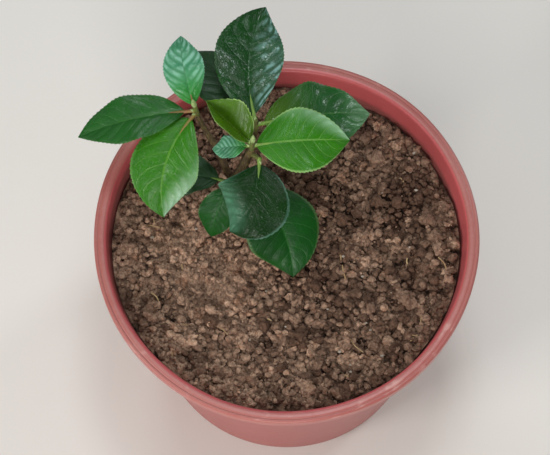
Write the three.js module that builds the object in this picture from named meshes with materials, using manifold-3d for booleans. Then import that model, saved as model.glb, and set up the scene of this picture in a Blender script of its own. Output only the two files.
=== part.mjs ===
// A young tea plant in a round plastic nursery pot.
// Millimetres, +Z up. The origin is the middle of the pot's flat underside, where it stands.
// The plant has one leaning main stem, a side branch to the left and one to the back, and six
// groups of leaves.

import * as THREE from 'three';
import { mergeVertices } from 'three/addons/utils/BufferGeometryUtils.js';
import Module from 'manifold-3d';

const wasm = await Module();
wasm.setup();

// Pot
const POT_HEIGHT = 112;
const RIM_RADIUS = 70;
const BASE_RADIUS = 51.7;
const WALL = 1.8;
const FLOOR = 2;
const LIP_WIDTH = 4.5;
const LIP_DEPTH = 5;
const LIP_CROWN = 1.6;
const CORNER = 1.2;
const POT_SIDES = 56;
const DRAIN_HOLES = 6;
const DRAIN_RADIUS = 4.5;
const DRAIN_RING = 33;

// Soil
const SOIL_TOP = 100;
const SOIL_LUMP = 2.2;
const SOIL_RINGS = 8;
const CALM_RADIUS = 11;

// Every solid keeps this far from its neighbour
const CLEAR = 0.3;

// Stems: each limb is one tapering solid along its path, and only the main stem has a root flare
const STEM_FOOT = [-20.8, 21.6, SOIL_TOP + CLEAR];
const FOOT_TRIM = 0.4;
const FLARE_HEIGHT = 3.5;
const LIMBS = {
  main_stem: {
    path: [STEM_FOOT, [-20.5, 21.5, 106], [-17.6, 20.6, 120], [-14, 19.3, 138], [-11.8, 18.3, 153]],
    foot: 2.3, tip: 1.1, flare: 2.4, sides: 10, steps: 16, color: 0x6b5138,
  },
  left_branch: {
    path: [[-21.2, 22.8, 117], [-24, 26.8, 128], [-28.4, 31, 138], [-31.1, 33.3, 148]],
    foot: 1.4, tip: 0.9, flare: 0, sides: 8, steps: 9, color: 0x77603c,
  },
  back_branch: {
    path: [[-15.2, 23.1, 127], [-13.2, 25.1, 134], [-11.2, 27, 141], [-10.5, 27.7, 147]],
    foot: 1.2, tip: 0.9, flare: 0, sides: 8, steps: 7, color: 0x77603c,
  },
};

// Leaves: every blade is this thick and has this grid of faces
const BLADE_THICKNESS = 0.6;
const BLADE_STEPS = 9;
const BLADE_COLUMNS = 6;
const BLADE_END = 0.015;
const STALK_RADIUS = 0.75;
const STALK_TAPER = 0.35;
const STALK_SIDES = 6;
const STALK_IN_BLADE = 0.2;
const TWIG_RADIUS = 0.95;
const TWIG_TAPER = 0.2;
const TWIG_SIDES = 8;
const BUD_RADIUS = 1.4;
const SEED = 20717;

const rad = THREE.MathUtils.degToRad;

// Repeatable random numbers between 0 and 1
function makeRandom(seed) {
  let state = seed;
  return () => {
    state = (state * 16807) % 2147483647;
    return state / 2147483647;
  };
}

// Closed geometry to solid and back
function toSolid(geometry) {
  const bare = geometry.clone();
  bare.deleteAttribute('normal');
  bare.deleteAttribute('uv');
  const merged = mergeVertices(bare, 1e-4);
  return new wasm.Manifold(new wasm.Mesh({
    numProp: 3,
    vertProperties: new Float32Array(merged.attributes.position.array),
    triVerts: new Uint32Array(merged.index.array),
  }));
}

function toGeometry(solid) {
  const mesh = solid.getMesh();
  const geometry = new THREE.BufferGeometry();
  geometry.setAttribute('position', new THREE.BufferAttribute(mesh.vertProperties, 3));
  geometry.setIndex(new THREE.BufferAttribute(mesh.triVerts, 1));
  geometry.computeVertexNormals();
  return geometry;
}

function makeMesh(name, geometry, color, roughness) {
  const material = new THREE.MeshStandardMaterial({ color, roughness, metalness: 0 });
  const mesh = new THREE.Mesh(geometry, material);
  mesh.name = name;
  return mesh;
}

// The pot wall's outer radius at a height, and the cavity's radius there
function wallRadius(z) {
  const top = RIM_RADIUS - LIP_WIDTH + WALL;
  return THREE.MathUtils.lerp(BASE_RADIUS, top, z / POT_HEIGHT);
}

function cavityRadius(z) {
  return wallRadius(z) - WALL;
}

// Points along an elliptical arc of a profile, from one angle to another in degrees
function arc(centre, radii, from, to, steps) {
  return Array.from({ length: steps + 1 }, (_, i) => {
    const angle = rad(THREE.MathUtils.lerp(from, to, i / steps));
    return [centre[0] + radii[0] * Math.cos(angle), centre[1] + radii[1] * Math.sin(angle)];
  });
}

// The pot is a turned profile, up the outside, over the rolled lip and down the inside
function buildPot() {
  const lipFoot = POT_HEIGHT - LIP_DEPTH;
  const lipMiddle = [RIM_RADIUS - LIP_WIDTH / 2, POT_HEIGHT - LIP_CROWN];
  const profile = [
    [0, 0],
    ...arc([BASE_RADIUS - CORNER, CORNER], [CORNER, CORNER], -90, 0, 2),
    [wallRadius(lipFoot), lipFoot],
    [RIM_RADIUS, lipFoot],
    ...arc(lipMiddle, [LIP_WIDTH / 2, LIP_CROWN], 0, 180, 6),
    [cavityRadius(FLOOR + CORNER), FLOOR + CORNER],
    [cavityRadius(FLOOR) - CORNER, FLOOR],
    [0, FLOOR],
  ];
  const points = profile.map(([radius, z]) => new THREE.Vector2(radius, z));
  const turned = new THREE.LatheGeometry(points, POT_SIDES).rotateX(Math.PI / 2);
  let pot = toSolid(turned);
  for (let i = 0; i < DRAIN_HOLES; i += 1) {
    const turn = (i / DRAIN_HOLES) * 2 * Math.PI;
    const drill = new THREE.CylinderGeometry(DRAIN_RADIUS, DRAIN_RADIUS, 3 * FLOOR, 16);
    drill.rotateX(Math.PI / 2);
    drill.translate(DRAIN_RING * Math.cos(turn), DRAIN_RING * Math.sin(turn), FLOOR / 2);
    pot = pot.subtract(toSolid(drill));
  }
  return makeMesh('pot', toGeometry(pot), 0xb06058, 0.55);
}

// Height of the uneven soil: low lumps that die out at the pot wall and round the stem
function soilHeight(x, y) {
  const [stemX, stemY] = STEM_FOOT;
  const lumps = Math.sin(x * 0.11 + 1.3) * Math.cos(y * 0.13 - 0.4)
    + 0.6 * Math.sin(x * 0.23 - y * 0.19 + 2.1)
    + 0.4 * Math.cos(x * 0.31 + y * 0.37);
  const fromStem = Math.hypot(x - stemX, y - stemY);
  const calm = THREE.MathUtils.smoothstep(fromStem, CALM_RADIUS, 2 * CALM_RADIUS);
  return SOIL_TOP + 0.5 * SOIL_LUMP * lumps * calm;
}

// The soil fills the pot: a turned plug whose top face is then given its lumps
function buildSoil() {
  const low = FLOOR + CLEAR;
  const points = [new THREE.Vector2(0, low), new THREE.Vector2(cavityRadius(low) - CORNER - CLEAR, low)];
  points.push(new THREE.Vector2(cavityRadius(low + CORNER) - CLEAR, low + CORNER));
  const edge = cavityRadius(SOIL_TOP - SOIL_LUMP) - CLEAR;
  for (let i = SOIL_RINGS; i >= 0; i -= 1) {
    points.push(new THREE.Vector2((edge * i) / SOIL_RINGS, SOIL_TOP));
  }
  const geometry = new THREE.LatheGeometry(points, POT_SIDES).rotateX(Math.PI / 2);
  const position = geometry.attributes.position;
  for (let i = 0; i < position.count; i += 1) {
    if (position.getZ(i) > SOIL_TOP - 1) {
      position.setZ(i, soilHeight(position.getX(i), position.getY(i)));
    }
  }
  return makeMesh('soil', toGeometry(toSolid(geometry)), 0x83685a, 1);
}

// A round tapering limb: a cylinder whose rings are laid along a curve
function limbGeometry(curve, radiusAt, sides, steps) {
  const geometry = new THREE.CylinderGeometry(1, 1, 1, sides, steps);
  const frames = curve.computeFrenetFrames(steps);
  const position = geometry.attributes.position;
  for (let i = 0; i < position.count; i += 1) {
    const ring = Math.round((position.getY(i) + 0.5) * steps);
    const along = ring / steps;
    const radius = radiusAt(along);
    const point = curve.getPointAt(along);
    point.addScaledVector(frames.binormals[ring], position.getX(i) * radius);
    point.addScaledVector(frames.normals[ring], position.getZ(i) * radius);
    position.setXYZ(i, point.x, point.y, point.z);
  }
  return geometry;
}

for (const limb of Object.values(LIMBS)) {
  limb.curve = new THREE.CatmullRomCurve3(limb.path.map((place) => new THREE.Vector3(...place)));
}

// A limb's radius at a share of its length
function limbRadius(limb, along) {
  const height = along * limb.curve.getLength();
  return THREE.MathUtils.lerp(limb.foot, limb.tip, along) + limb.flare * Math.exp(-height / FLARE_HEIGHT);
}

// A limb's solid, made thicker all round by a margin. A flared foot is cut flat and level.
function limbSolid(limb, margin) {
  const radius = (along) => limbRadius(limb, along) + margin;
  const geometry = limbGeometry(limb.curve, radius, limb.sides, limb.steps);
  const position = geometry.attributes.position;
  const [, , ground] = STEM_FOOT;
  for (let i = 0; i < position.count; i += 1) {
    if (position.getZ(i) < ground + FOOT_TRIM) {
      position.setZ(i, ground);
    }
  }
  return toSolid(geometry);
}

// A leaf's half width along its blade, as a share of its full half width: widest near the
// middle, with a blunt wedge at the base and a drawn-out tip
const BASE_POWER = 0.7;
const TIP_POWER = 1.1;
const WIDEST = Math.sqrt(BASE_POWER / (BASE_POWER + 2 * TIP_POWER));

function outline(along) {
  const shape = (s) => s ** BASE_POWER * (1 - s * s) ** TIP_POWER;
  return shape(along) / shape(WIDEST);
}

// A direction from a compass heading (0 is +X, 90 is +Y) and a pitch above the level
function direction(heading, pitch) {
  return new THREE.Vector3(
    Math.cos(pitch) * Math.cos(heading),
    Math.cos(pitch) * Math.sin(heading),
    Math.sin(pitch),
  );
}

// A point of a blade. along runs from 0 at the base to 1 at the tip, across from -1 to 1
// from edge to edge, and up from -1 to 1 through its thickness. The midrib sets out at the
// leaf's heading and pitch, and over its length it turns and droops; the two halves fold up,
// curl down and wave at their edges.
function bladePoint(leaf, foot, along, across, up) {
  const first = direction(rad(leaf.heading), rad(leaf.pitch));
  const last = direction(rad(leaf.heading + leaf.turn), rad(leaf.pitch - leaf.droop));
  const forward = first.clone().lerp(last, along).normalize();
  const point = foot.clone().addScaledVector(first, leaf.length * (along - 0.5 * along * along));
  point.addScaledVector(last, 0.5 * leaf.length * along * along);
  const level = new THREE.Vector3(-forward.y, forward.x, 0).normalize();
  const side = level.applyAxisAngle(forward, rad(leaf.roll));
  const face = forward.clone().cross(side);
  const half = 0.5 * leaf.width * outline(along);
  const reach = half * across;
  const fold = Math.abs(reach) * Math.tan(rad(leaf.fold));
  const curl = -leaf.curl * half * across * across;
  const swell = leaf.wave * outline(along) * across * across;
  const wave = swell * Math.sin(leaf.waves * along * 2 * Math.PI + leaf.phase + across);
  point.addScaledVector(side, reach);
  return point.addScaledVector(face, fold + curl + wave + up * 0.5 * BLADE_THICKNESS);
}

// A blade: a flat box with a grid of faces, given the leaf's outline and bend. Both ends are
// cut just short of a point.
function bladeSolid(leaf, foot) {
  const geometry = new THREE.BoxGeometry(1, 2, 2, BLADE_STEPS, BLADE_COLUMNS, 1);
  const position = geometry.attributes.position;
  for (let i = 0; i < position.count; i += 1) {
    const along = THREE.MathUtils.clamp(position.getX(i) + 0.5, BLADE_END, 1 - BLADE_END);
    const point = bladePoint(leaf, foot, along, position.getY(i), position.getZ(i));
    position.setXYZ(i, point.x, point.y, point.z);
  }
  return toSolid(geometry);
}

// A leaf: its stalk from the twig, sunk into both, and its blade
function leafSolid(leaf, node) {
  const stalk = direction(rad(leaf.heading), rad(leaf.pitch)).multiplyScalar(leaf.stalk);
  const foot = node.clone().add(stalk);
  const rib = bladePoint(leaf, foot, STALK_IN_BLADE, 0, 0);
  const curve = new THREE.CatmullRomCurve3([node, foot, rib]);
  const radius = (along) => STALK_RADIUS * (1 - STALK_TAPER * along);
  return toSolid(limbGeometry(curve, radius, STALK_SIDES, 4)).add(bladeSolid(leaf, foot));
}

// A closed bud at a shoot's tip: a small spindle
function budSolid(node, outward, length) {
  const end = node.clone().addScaledVector(outward, length);
  const curve = new THREE.LineCurve3(node, end);
  const radius = (along) => BUD_RADIUS * Math.cos(0.45 * Math.PI * (1.8 * along - 0.8));
  return toSolid(limbGeometry(curve, radius, STALK_SIDES, 5));
}

// The groups of leaves. Each twig leaves a limb at a share of the limb's length, and each leaf
// leaves the twig at a share of the twig's. Angles are in degrees: heading 0 is +X, 90 is +Y.
const GROUPS = [
  {
    name: 'left_leaves', limb: 'left_branch', color: 0x3f8a2a,
    at: 1, heading: 130, pitch: 80, twig: 7, bud: 5, reach: 52,
    leaves: [
      {
        at: 0.35, heading: 184, pitch: 2, turn: 13, droop: 24,
        length: 40.5, width: 19, roll: 8, fold: 12, stalk: 4,
      },
      {
        at: 0.2, heading: -130, pitch: -7, turn: 54, droop: 40,
        length: 43, width: 25, roll: 0, fold: 8, stalk: 3,
      },
      {
        at: 0.6, heading: 116, pitch: 55, turn: -26, droop: 88,
        length: 36, width: 15, roll: -6, fold: 10, stalk: 1.5,
      },
    ],
  },
  {
    name: 'back_leaves', limb: 'back_branch', color: 0x1d5a2a,
    at: 1, heading: 80, pitch: 75, twig: 5.5, bud: 0, reach: 56,
    leaves: [
      {
        at: 0.75, heading: 104, pitch: 21, turn: -40, droop: 38,
        length: 46, width: 25, roll: 4, fold: 9, stalk: 3,
      },
      {
        at: 0.2, heading: 119, pitch: 1, turn: 8, droop: 30,
        length: 38, width: 23, roll: 12, fold: 8, stalk: 4,
      },
      {
        at: 0.5, heading: 13, pitch: 1, turn: -4, droop: 34,
        length: 42, width: 26, roll: -4, fold: 6, stalk: 3,
      },
    ],
  },
  {
    name: 'tip_leaves', limb: 'main_stem', color: 0x4f9a2c,
    at: 1, heading: 60, pitch: 82, twig: 6, bud: 5, reach: 42,
    leaves: [
      {
        at: 0.5, heading: 144, pitch: 28, turn: -6, droop: 8,
        length: 21, width: 13, roll: 8, fold: 50, stalk: 1.5,
      },
      {
        at: 0.35, heading: 5, pitch: 10, turn: -2, droop: 28,
        length: 34, width: 24, roll: 6, fold: 8, stalk: 1.5,
      },
      {
        at: 0.3, heading: 176, pitch: -14, turn: -6, droop: 24,
        length: 14, width: 9, roll: 0, fold: 10, stalk: 2,
      },
    ],
  },
  {
    name: 'front_leaves', limb: 'main_stem', color: 0x1c5536,
    at: 0.93, heading: -40, pitch: 20, twig: 3, bud: 0, reach: 42,
    leaves: [
      {
        at: 0.8, heading: -92, pitch: -10, turn: -66, droop: 36,
        length: 32, width: 28, roll: 4, fold: 6, stalk: 2,
      },
    ],
  },
  {
    name: 'low_right_leaves', limb: 'main_stem', color: 0x20632f,
    at: 0.55, heading: -50, pitch: 5, twig: 3.5, bud: 0, reach: 48,
    leaves: [
      {
        at: 0.8, heading: -50, pitch: -16, turn: -38, droop: 30,
        length: 39, width: 28, roll: -4, fold: 8, stalk: 4,
      },
    ],
  },
  {
    name: 'low_left_leaves', limb: 'main_stem', color: 0x245c30,
    at: 0.42, heading: -140, pitch: 15, twig: 4, bud: 0, reach: 34,
    leaves: [
      {
        at: 0.8, heading: 164, pitch: -2, turn: 10, droop: 30,
        length: 25, width: 16, roll: 0, fold: 10, stalk: 3,
      },
      {
        at: 0.5, heading: -116, pitch: -25, turn: 10, droop: 36,
        length: 22, width: 14, roll: 0, fold: 10, stalk: 3,
      },
    ],
  },
];

// Each leaf's small irregularities come from the seed, in the order of the list
const random = makeRandom(SEED);
for (const group of GROUPS) {
  for (const leaf of group.leaves) {
    leaf.curl = 0.1 + 0.12 * random();
    leaf.wave = 0.5 + 0.7 * random();
    leaf.waves = 1.5 + 1.5 * random();
    leaf.phase = 2 * Math.PI * random();
  }
}

// Where a group's twig begins: clear of its limb's tip, or of its side
function twigFoot(group, outward) {
  const limb = LIMBS[group.limb];
  const point = limb.curve.getPointAt(group.at);
  const tangent = limb.curve.getTangentAt(group.at);
  const slant = outward.dot(tangent);
  if (group.at === 1) {
    return point.addScaledVector(tangent, CLEAR + TWIG_RADIUS * Math.sqrt(1 - slant * slant));
  }
  const across = outward.clone().addScaledVector(tangent, -slant).normalize();
  return point.addScaledVector(across, limbRadius(limb, group.at) + CLEAR + TWIG_RADIUS * Math.abs(slant));
}

// A group: one short twig, with each leaf fused to it unless it would leave the group's reach
// or come near a limb or another group
function buildGroup(group, obstacles) {
  const outward = direction(rad(group.heading), rad(group.pitch));
  const foot = twigFoot(group, outward);
  const end = foot.clone().addScaledVector(outward, group.twig);
  const twig = new THREE.LineCurve3(foot, end);
  const radius = (along) => TWIG_RADIUS * (1 - TWIG_TAPER * along);
  let solid = toSolid(limbGeometry(twig, radius, TWIG_SIDES, 2));
  for (const leaf of group.leaves) {
    const node = twig.getPointAt(leaf.at);
    const grown = leafSolid(leaf, node);
    const tip = bladePoint(leaf, node, 1, 0, 0);
    const free = obstacles.every((obstacle) => obstacle.intersect(grown).isEmpty());
    if (free && tip.distanceTo(foot) < group.reach) {
      solid = solid.add(grown);
    }
  }
  if (group.bud) {
    solid = solid.add(budSolid(twig.getPointAt(0.8), outward, group.bud));
  }
  return solid;
}

const plant = new THREE.Group();
plant.add(buildPot());
plant.add(buildSoil());
const obstacles = [];
for (const [name, limb] of Object.entries(LIMBS)) {
  plant.add(makeMesh(name, toGeometry(limbSolid(limb, 0)), limb.color, 0.75));
  obstacles.push(limbSolid(limb, CLEAR));
}
for (const group of GROUPS) {
  const solid = buildGroup(group, obstacles);
  obstacles.push(solid);
  plant.add(makeMesh(group.name, toGeometry(solid), group.color, 0.35));
}

export default plant;
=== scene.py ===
"""A young tea plant in a round plastic nursery pot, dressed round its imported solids.

Blender 4.5. Places are in the solids' frame: +Z up, the origin under the middle of the pot.
The growing rule is the solids' own, so its sizes are in millimetres as theirs are, and
make_mesh turns each finished mesh into metres.
"""

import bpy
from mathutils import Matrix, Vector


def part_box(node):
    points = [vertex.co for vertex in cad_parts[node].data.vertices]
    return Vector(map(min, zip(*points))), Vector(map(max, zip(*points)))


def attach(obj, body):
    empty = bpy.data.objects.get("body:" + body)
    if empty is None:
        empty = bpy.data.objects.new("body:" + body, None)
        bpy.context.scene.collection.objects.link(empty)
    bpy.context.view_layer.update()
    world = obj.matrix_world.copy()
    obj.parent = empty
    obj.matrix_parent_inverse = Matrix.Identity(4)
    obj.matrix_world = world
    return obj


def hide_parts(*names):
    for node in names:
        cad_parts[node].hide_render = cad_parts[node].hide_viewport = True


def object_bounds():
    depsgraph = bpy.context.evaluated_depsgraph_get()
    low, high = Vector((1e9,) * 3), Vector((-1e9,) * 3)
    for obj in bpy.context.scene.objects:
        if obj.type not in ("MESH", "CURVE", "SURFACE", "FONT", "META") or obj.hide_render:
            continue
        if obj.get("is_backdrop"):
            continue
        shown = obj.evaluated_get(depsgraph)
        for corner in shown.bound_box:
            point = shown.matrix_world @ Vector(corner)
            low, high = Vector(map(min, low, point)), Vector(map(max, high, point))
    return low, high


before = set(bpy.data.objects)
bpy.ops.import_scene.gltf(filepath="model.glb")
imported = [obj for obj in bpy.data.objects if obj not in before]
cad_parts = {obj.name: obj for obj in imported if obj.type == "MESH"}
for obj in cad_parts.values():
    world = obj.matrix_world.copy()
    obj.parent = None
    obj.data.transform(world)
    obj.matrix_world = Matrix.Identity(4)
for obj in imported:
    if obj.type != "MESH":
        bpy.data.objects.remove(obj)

import inspect
import math

import bmesh
import bpy
import numpy as np
from mathutils import Matrix, Vector

MM = 0.001
CAD_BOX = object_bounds()

# Camera: the photograph's viewpoint, aimed at the plant and closer in
VIEW_PLACE = Vector((0, -0.275, 0.9197))
VIEW_AIM = Vector((-0.00402, 0.00324, 0.112))
VIEW_ROLL = 1.255
VIEW_LENS = 153.5
SENSOR = 36.0

# Lights: heading and pitch in degrees, size in metres, power in watts and colour
LIGHT_AIM = Vector((0, 0, 0.12))
LIGHT_DISTANCE = 1.1
LIGHTS = {
    "key_light": (-150, 26, 0.35, 4.4, (1.0, 0.99, 0.97)),
    "top_light": (70, 82, 0.2, 2.4, (0.86, 0.95, 1.0)),
    "front_light": (-92, 22, 0.35, 5.0, (1.0, 0.98, 0.95)),
    "right_light": (35, 27, 0.2, 2.3, (0.9, 0.97, 1.0)),
    "back_light": (105, 45, 0.3, 1.6, (0.9, 0.97, 1.0)),
    "fill_light": (-110, 80, 0.5, 1.9, (1.0, 0.99, 0.97)),
}
SURROUND_COLOUR = (0.9, 0.95, 1.0, 1)
SURROUND_STRENGTH = 0.12
FLOOR_REACH = 6000.0

# Pot, in millimetres; its rim and height come from the solid. The lip's corners are told
# by how far out from the rim and up from the top they are, and how rounded.
POT_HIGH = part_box("pot")[1]
RIM_RADIUS = POT_HIGH.x / MM
POT_HEIGHT = POT_HIGH.z / MM
BASE_RADIUS = 51.7
BASE_RECESS = 0.7
WALL = 1.8
WALL_STEP = 4
FLOOR = 2.0
LIP_WIDTH = 4.5
LIP_DEPTH = 5.0
LIP_CORNERS = [
    (-0.35, -LIP_DEPTH, 0.5), (0, 0.9 - LIP_DEPTH, 0.4), (0, -0.25, 0.9), (-1.1, -0.1, 0.3),
    (-1.45, -0.38, 0.2), (-1.8, -0.1, 0.3), (1.3 - LIP_WIDTH, 0, 0.6), (-LIP_WIDTH, -0.5, 0.9),
]
POT_SIDES = 240
DRAIN_HOLES = 6
DRAIN_RADIUS = 4.5
DRAIN_RING = 33.0

# Soil
SOIL_TOP = 100.0
SOIL_LUMP = 2.2
CALM_RADIUS = 11.0
STEM_ROOM = 3.2
BED_RADIUS = 63.3
BED_DEPTH = 1.7
BED_BEVEL = 1.2
PLUG_HEIGHTS = (90.0, 60.0, 30.0)
BED_RINGS = 136
BED_SIDES = 480
GUTTER_WIDTH = 3.0
GUTTER_DEPTH = 0.7

# Where the soil is heaped up towards the wall: heading and half width in degrees, and rise
HEAPS = [(-165, 62, 5.0), (-95, 45, 3.2), (-12, 34, 3.6)]
HEAP_START = 36.0
WALL_SLOPE = 0.139

# Where earth stain and painted shade reach higher up the wall, along x and along y: from, to and
# how much
CLINGING = [(-64, -10, 4.5), (-64, -30, 3.0)]

# Layers of cloudy unevenness over the soil: how much, of what size, and a seed
COARSE_LAYERS = [(0.4, 22, 9)]
ROUGH_LAYERS = [(0.7, 8.0, 3), (0.35, 4.0, 4)]
DRY_LAYERS = [(0.16, 12, 31), (0.27, 5.2, 33), (0.25, 2.7, 34)]
WANDER_LAYERS = ([(1.3, 2.4, 21)], [(1.3, 2.4, 22)])

# Crumbs packed in the bed: size, how far their edges wander, how wide their domes are, how
# high the lowest stands and how much more the highest, and a seed
PACKED_CRUMBS = [
    (3.4, 1.0, 0.8, 0.3, 1.0, 5),
    (1.5, 0.5, 0.85, 0.2, 0.6, 6),
    (0.8, 0.2, 0.9, 0.0, 0.25, 7),
]

# Where the soil differs: x, y, reach and how much; and its large clods: x, y and radius
FINE_SPOTS = [(-42, 3, 9, 0.9), (-30, -14, 14, 0.6)]
# Painted light and shadow: some pale spots are painted light, and some dark spots painted shadow
# of the plant
PALE_SPOTS = [(-36, 4, 17, 0.5), (-20, -12, 14, 0.4), (-30, -32, 17, 0.3), (33, -3, 9, 0.3),
              (46, -34, 6, 0.15), (58, 9, 7, 0.3), (8, -44, 10, 0.12), (-11, -11, 9, 0.5),
              (-37, -11, 9, 0.6), (24, -11, 7, 0.15), (-29, -52, 8, 0.45), (-60, -10, 7, 0.3),
              (36, 34, 7, 0.25)]
DAMP_SPOTS = [(14, 20, 14, 0.35), (12, -10, 13, 0.35), (14, -31, 13, 0.4), (46, 16, 17, 0.55),
              (48, -12, 14, 0.4), (28, -21, 10, 0.25), (24, -58, 11, 0.3), (-53, -26, 10, 0.3),
              (36, 2, 12, 0.3), (42, -36, 12, 0.42), (4, -52, 10, 0.22), (-38, -46, 9, 0.15),
              (32, 40, 14, 0.3), (-37, 26, 9, 0.3), (24, 12, 8, 0.42)]
LARGE_CLODS = [(54.5, 9, 6.4), (33, -3, 4.6), (41, 3, 3.8), (26, 4, 3.4), (47, -27, 4.0),
               (38, 31, 3.6), (51, -9, 3.3), (-50, 24, 3.2), (6, -55, 3.4), (24, -20, 3.0),
               (-12, -34, 2.8)]

# Loose crumbs: seed, spacing, how finely they are cut, smallest and largest radius, how high
# they lie, and how much the fine soil is kept free of them
LOOSE_CRUMBS = {
    "soil_grains": (11, 1.62, 1, 0.28, 0.62, 0.5, 0.0),
    "soil_crumbs": (12, 2.6, 2, 0.7, 1.3, 0.25, 0.6),
    "soil_lumps": (13, 3.3, 2, 1.0, 1.9, 0.1, 0.9),
    "soil_clods": (14, 9.5, 4, 1.7, 2.8, -0.15, 1.0),
}

# A crumb's unevenness, coarse to fine: how much of it, and of what size
CRUMB_LUMPS = [(0.4, 0.95), (0.34, 0.44), (0.18, 0.2), (0.09, 0.1), (0.05, 0.06)]
CRUMB_STRETCH = 0.35
BITS_OF_STRAW = 34
BITS_OF_GRIT = 34

# Stems: each limb's path and radii, as the solids have them
STEM_FOOT = (-20.8, 21.6, 100.3)
FLARE_HEIGHT = 3.5
ROOT_DEPTH = 2.2
BARK_RADIUS = 4.5
RIDGE_HEIGHT = 0.15
CRACK_HEIGHT = 0.08
NODE_SPACING = 8.5
NODE_SWELLING = 0.14
LIMBS = {
    "main_stem": {
        "path": [STEM_FOOT, (-20.5, 21.5, 106), (-17.6, 20.6, 120), (-14, 19.3, 138),
                 (-11.8, 18.3, 153)],
        "foot": 2.3, "tip": 1.1, "flare": 2.4, "sides": 36, "steps": 150,
    },
    "left_branch": {
        "path": [(-21.2, 22.8, 117), (-24, 26.8, 128), (-28.4, 31, 138), (-31.1, 33.3, 148)],
        "foot": 1.4, "tip": 0.9, "flare": 0, "sides": 24, "steps": 80,
    },
    "back_branch": {
        "path": [(-15.2, 23.1, 127), (-13.2, 25.1, 134), (-11.2, 27, 141), (-10.5, 27.7, 147)],
        "foot": 1.2, "tip": 0.9, "flare": 0, "sides": 24, "steps": 50,
    },
}

# Leaves
TWIG_RADIUS = 0.95
TWIG_TAPER = 0.2
STALK_RADIUS = 0.72
TIP_BUD_RADIUS = 0.868
SIDE_BUD_RADIUS = 0.5
SIDE_BUD_LENGTH = 1.9
CLEAR = 0.3
SEED = 20717
BASE_POWER = 0.7
TIP_POWER = 1.1
BLADE_THICKNESS = 0.34
BLADE_STEPS = 132
BLADE_COLUMNS = 28
BLADE_END = 0.006
TOOTH_LENGTH = 1.5
TOOTH_DEPTH = 0.38
GROOVE_DEPTH = 0.32
GROOVE_WIDTH = 0.75
KEEL_DEPTH = 0.42
KEEL_WIDTH = 0.5
VEIN_RELIEF = 0.09
VEIN_WIDTH = 0.09
VEIN_PAIRS = 8.0
VEIN_SWEEP = 0.2
VEIN_HOOK = 0.1

# Each group of leaves, with a row for each leaf: where on its twig it stands, its course, its
# size, and how far it puckers between its veins and blisters anywhere
GROUP_VALUES = ("name", "limb", "at", "heading", "pitch", "twig", "bud", "reach", "leaves")
LEAF_VALUES = ("look", "at", "heading", "pitch", "turn", "droop", "length", "width", "roll",
               "fold", "stalk", "pucker", "blister")
GROUPS = [
    ("left_leaves", "left_branch", 1, 130, 80, 7, 5, 52, [
        ("leaf_mid", 0.35, 184, 2, 13, 24, 40.5, 19, 8, 12, 4, 0.12, 0.1),
        ("leaf_fresh", 0.2, -130, -7, 54, 40, 43, 25, 0, 8, 3, 0.15, 0.12),
        ("leaf_waxy", 0.6, 116, 55, -26, 88, 36, 15, -6, 10, 1.5, 0.14, 0.45),
    ]),
    ("back_leaves", "back_branch", 1, 80, 75, 5.5, 0, 56, [
        ("leaf_dark", 0.75, 104, 21, -40, 38, 46, 25, 4, 9, 3, 0.2, 0.5),
        ("leaf_old", 0.2, 119, 1, 8, 30, 38, 23, 12, 8, 4, 0.2, 0.15),
        ("leaf_olive", 0.5, 13, 1, -4, 34, 42, 26, -4, 6, 3, 0.16, 0.25),
    ]),
    ("tip_leaves", "main_stem", 1, 60, 82, 6, 5, 42, [
        ("leaf_young", 0.5, 144, 28, -6, 8, 21, 13, 8, 50, 1.5, 0.05, 0.08),
        ("leaf_lime", 0.35, 5, 10, -2, 28, 34, 24, 6, 8, 1.5, 0.12, 0.12),
        ("leaf_waxy", 0.3, 176, -14, -6, 24, 14, 9, 0, 10, 2, 0.08, 0.1),
    ]),
    ("front_leaves", "main_stem", 0.93, -40, 20, 3, 0, 42, [
        ("leaf_blue", 0.8, -92, -10, -66, 36, 32, 28, 4, 6, 2, 0.06, 0.08),
    ]),
    ("low_right_leaves", "main_stem", 0.55, -50, 5, 3.5, 0, 48, [
        ("leaf_deep", 0.8, -50, -16, -38, 30, 39, 28, -4, 8, 4, 0.12, 0.12),
    ]),
    ("low_left_leaves", "main_stem", 0.42, -140, 15, 4, 0, 34, [
        ("leaf_old", 0.8, 164, -2, 10, 30, 25, 16, 0, 10, 3, 0.12, 0.1),
        ("leaf_deep", 0.5, -116, -25, 10, 36, 22, 14, 0, 10, 3, 0.12, 0.1),
    ]),
]

# Whole numbers that mix a place's own numbers well
CELL_FACTORS = (73856093, 19349663, 83492791)
SALTS = (1274126177, 1103515245, 2246822519)
SCRAMBLE_MOST = 0xFFFF


# Numbers and points

def make_random(seed):
    """Repeatable random numbers between 0 and 1, the same as the solids use."""
    factor, most = 16807, 2147483647
    state = seed
    while True:
        state = (state * factor) % most
        yield state / most


def unit(vectors):
    """The same directions, each one long."""
    return vectors / np.linalg.norm(vectors, axis=-1, keepdims=True)


def ease(value, low, high):
    """0 below low, 1 above high, and a smooth rise between."""
    share = np.clip((value - low) / (high - low), 0, 1)
    return share * share * (3 - 2 * share)


def bell(distance, width):
    """1 at no distance, and smoothly down to 0 beyond this width."""
    return np.exp(-((distance / width) ** 2))


def turns(count):
    """Angles evenly spread round a full turn."""
    return np.linspace(0, math.tau, count, endpoint=False)


def around(radius, turn, height):
    """Points round the upright axis."""
    x, y = radius * np.cos(turn), radius * np.sin(turn)
    return np.stack(np.broadcast_arrays(x, y, height), axis=-1)


def scrambled(key, salt):
    """A whole number up to SCRAMBLE_MOST for each key, as good as random."""
    key = (key ^ (key >> 13)) * salt
    return (key ^ (key >> 16)) & SCRAMBLE_MOST


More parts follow.
